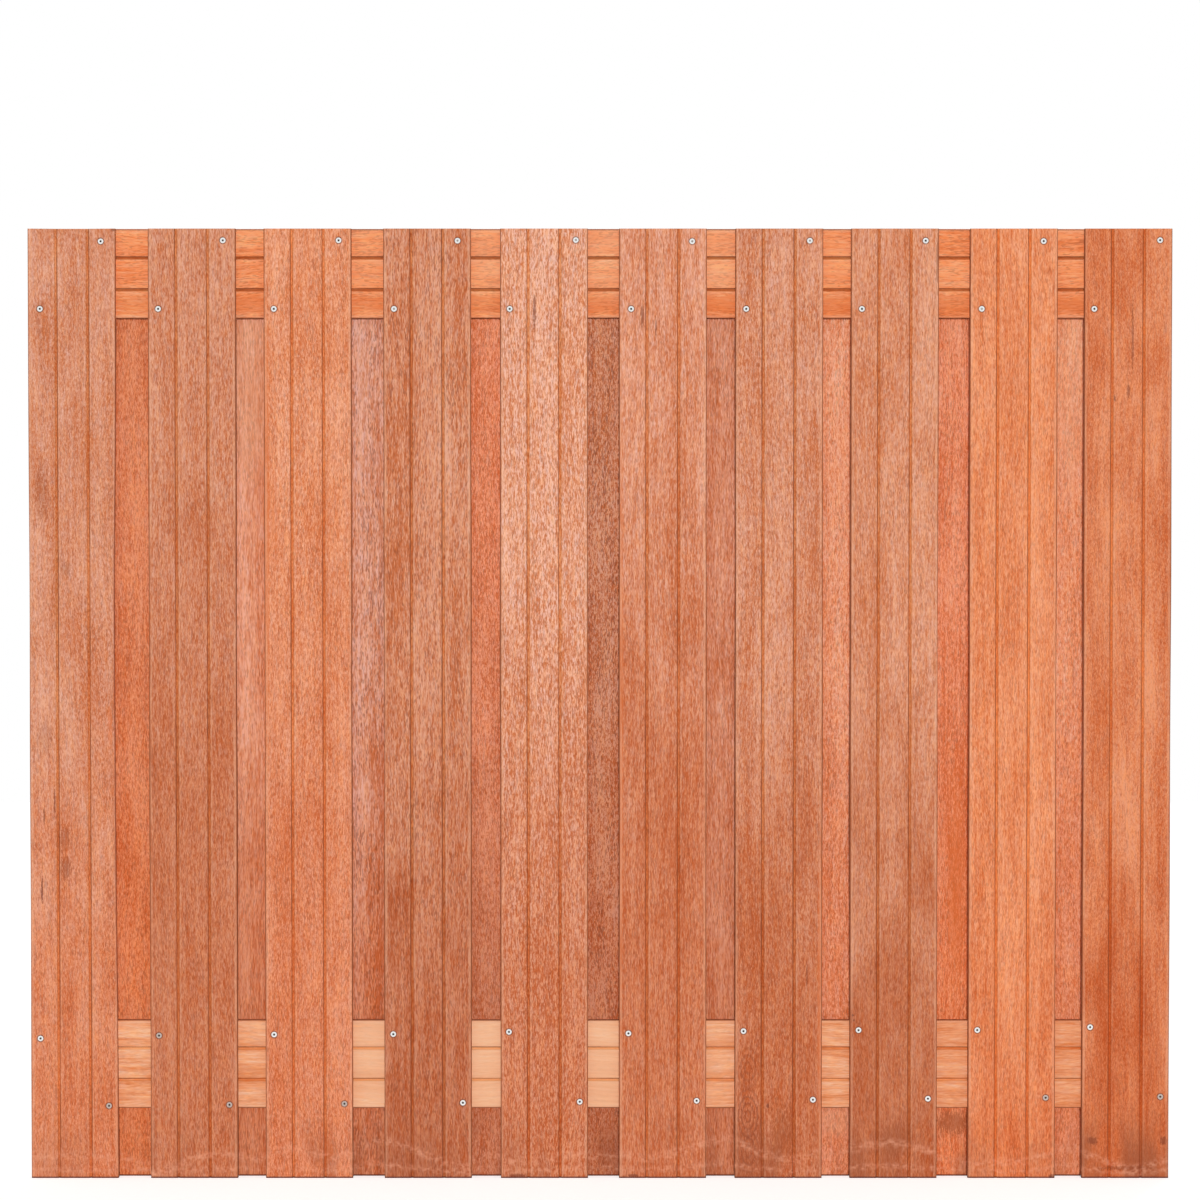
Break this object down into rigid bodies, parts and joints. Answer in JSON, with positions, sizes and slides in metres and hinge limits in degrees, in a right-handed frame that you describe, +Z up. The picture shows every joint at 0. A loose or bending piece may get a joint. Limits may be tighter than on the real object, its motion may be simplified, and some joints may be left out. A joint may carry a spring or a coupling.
{
  "type": "garden screen panel",
  "caption": "Hit-and-miss hardwood screen: grooved upright boards screwed to both sides of two level rails, each gap on one side covered by a board on the other.",
  "frame": {"origin": "foot of the boards, midway along the length and midway through the thickness", "axes": "+X along the panel, front face to -Y, +Z up"},
  "size_m": [1.8, 0.045, 1.5],
  "materials": {
    "wood_rose": "planed hardwood, oiled look, light rose brown",
    "wood_orange": "planed hardwood, oiled look, warm orange brown",
    "wood_umber": "planed hardwood, oiled look, deeper umber brown",
    "wood_salmon": "planed hardwood, oiled look, salmon brown",
    "wood_red": "planed hardwood, oiled look, red brown",
    "wood_rail": "planed hardwood, oiled look, peach with wavy level grain",
    "stainless_steel": "bare stainless steel, some heads bright and some dull"
  },
  "bodies": {
    "root": {"front_board_01": "wood_rose", "front_board_02": "wood_umber", "front_board_03": "wood_orange", "front_board_04": "wood_umber", "front_board_05": "wood_rose", "front_board_06": "wood_salmon", "front_board_07": "wood_salmon", "front_board_08": "wood_salmon", "front_board_09": "wood_orange", "front_board_10": "wood_red", "back_board_01": "wood_red", "back_board_02": "wood_salmon", "back_board_03": "wood_umber", "back_board_04": "wood_red", "back_board_05": "wood_umber", "back_board_06": "wood_salmon", "back_board_07": "wood_rose", "back_board_08": "wood_orange", "back_board_09": "wood_orange", "top_rail": "wood_rail", "bottom_rail": "wood_rail", "front_screws_01": "stainless_steel", "front_screws_02": "stainless_steel", "front_screws_03": "stainless_steel", "front_screws_04": "stainless_steel", "front_screws_05": "stainless_steel", "front_screws_06": "stainless_steel", "front_screws_07": "stainless_steel", "front_screws_08": "stainless_steel", "front_screws_09": "stainless_steel", "front_screws_10": "stainless_steel", "back_screws_01": "stainless_steel", "back_screws_02": "stainless_steel", "back_screws_03": "stainless_steel", "back_screws_04": "stainless_steel", "back_screws_05": "stainless_steel", "back_screws_06": "stainless_steel", "back_screws_07": "stainless_steel", "back_screws_08": "stainless_steel", "back_screws_09": "stainless_steel"}
  },
  "joints": []
}
